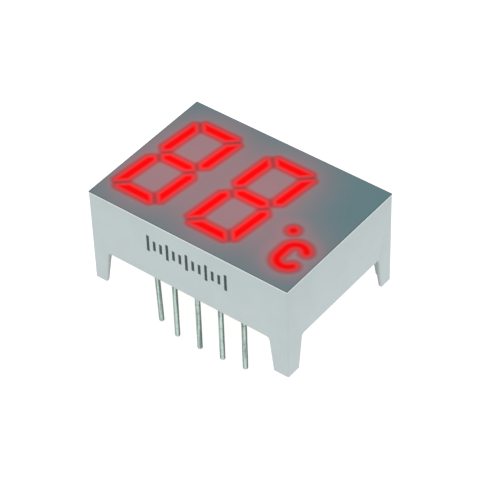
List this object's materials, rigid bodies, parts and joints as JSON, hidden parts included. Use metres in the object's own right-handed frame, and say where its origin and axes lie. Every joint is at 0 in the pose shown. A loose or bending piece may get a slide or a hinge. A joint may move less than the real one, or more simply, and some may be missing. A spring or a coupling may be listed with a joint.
{
  "type": "seven segment display",
  "caption": "Lit two-digit seven segment numeric display with degree dot and letter C, white case on corner feet, grey face film and two rows of round solder pins.",
  "frame": {"origin": "middle of the pin pattern at the seating plane, level with the tips of the four corner feet", "axes": "+X along the digits from left to right, +Y up the digits, +Z out of the lit face"},
  "size_m": [0.0214, 0.0152, 0.014],
  "materials": {
    "case_plastic": "smooth moulded white plastic, slightly cool",
    "face_film": "fine matt translucent grey film",
    "lit_epoxy": "milky cast epoxy, lit red from behind",
    "light_chip": "cleaved crystal",
    "gilt_copper": "gold-plated copper and gold wire",
    "board_laminate": "glass-fibre laminate",
    "potting_epoxy": "clear to milky epoxy with a soft gloss",
    "tinned_wire": "tinned round wire, dull",
    "solder": "bright solder"
  },
  "bodies": {
    "root": {"board_pads": "gilt_copper", "bond_wires": "gilt_copper", "chip_degree_dot": "light_chip", "chip_left_segment_a": "light_chip", "chip_left_segment_b": "light_chip", "chip_left_segment_c": "light_chip", "chip_left_segment_d": "light_chip", "chip_left_segment_e": "light_chip", "chip_left_segment_f": "light_chip", "chip_left_segment_g": "light_chip", "chip_letter_c_1": "light_chip", "chip_letter_c_2": "light_chip", "chip_right_segment_a": "light_chip", "chip_right_segment_b": "light_chip", "chip_right_segment_c": "light_chip", "chip_right_segment_d": "light_chip", "chip_right_segment_e": "light_chip", "chip_right_segment_f": "light_chip", "chip_right_segment_g": "light_chip", "circuit_board": "board_laminate", "epoxy_degree_dot": "lit_epoxy", "epoxy_left_segment_a": "lit_epoxy", "epoxy_left_segment_b": "lit_epoxy", "epoxy_left_segment_c": "lit_epoxy", "epoxy_left_segment_d": "lit_epoxy", "epoxy_left_segment_e": "lit_epoxy", "epoxy_left_segment_f": "lit_epoxy", "epoxy_left_segment_g": "lit_epoxy", "epoxy_letter_c": "lit_epoxy", "epoxy_right_segment_a": "lit_epoxy", "epoxy_right_segment_b": "lit_epoxy", "epoxy_right_segment_c": "lit_epoxy", "epoxy_right_segment_d": "lit_epoxy", "epoxy_right_segment_e": "lit_epoxy", "epoxy_right_segment_f": "lit_epoxy", "epoxy_right_segment_g": "lit_epoxy", "face_film": "face_film", "pin_1": "tinned_wire", "pin_10": "tinned_wire", "pin_2": "tinned_wire", "pin_3": "tinned_wire", "pin_4": "tinned_wire", "pin_5": "tinned_wire", "pin_6": "tinned_wire", "pin_7": "tinned_wire", "pin_8": "tinned_wire", "pin_9": "tinned_wire", "potting": "potting_epoxy", "reflector_case": "case_plastic", "solder_joints": "solder"}
  },
  "joints": []
}
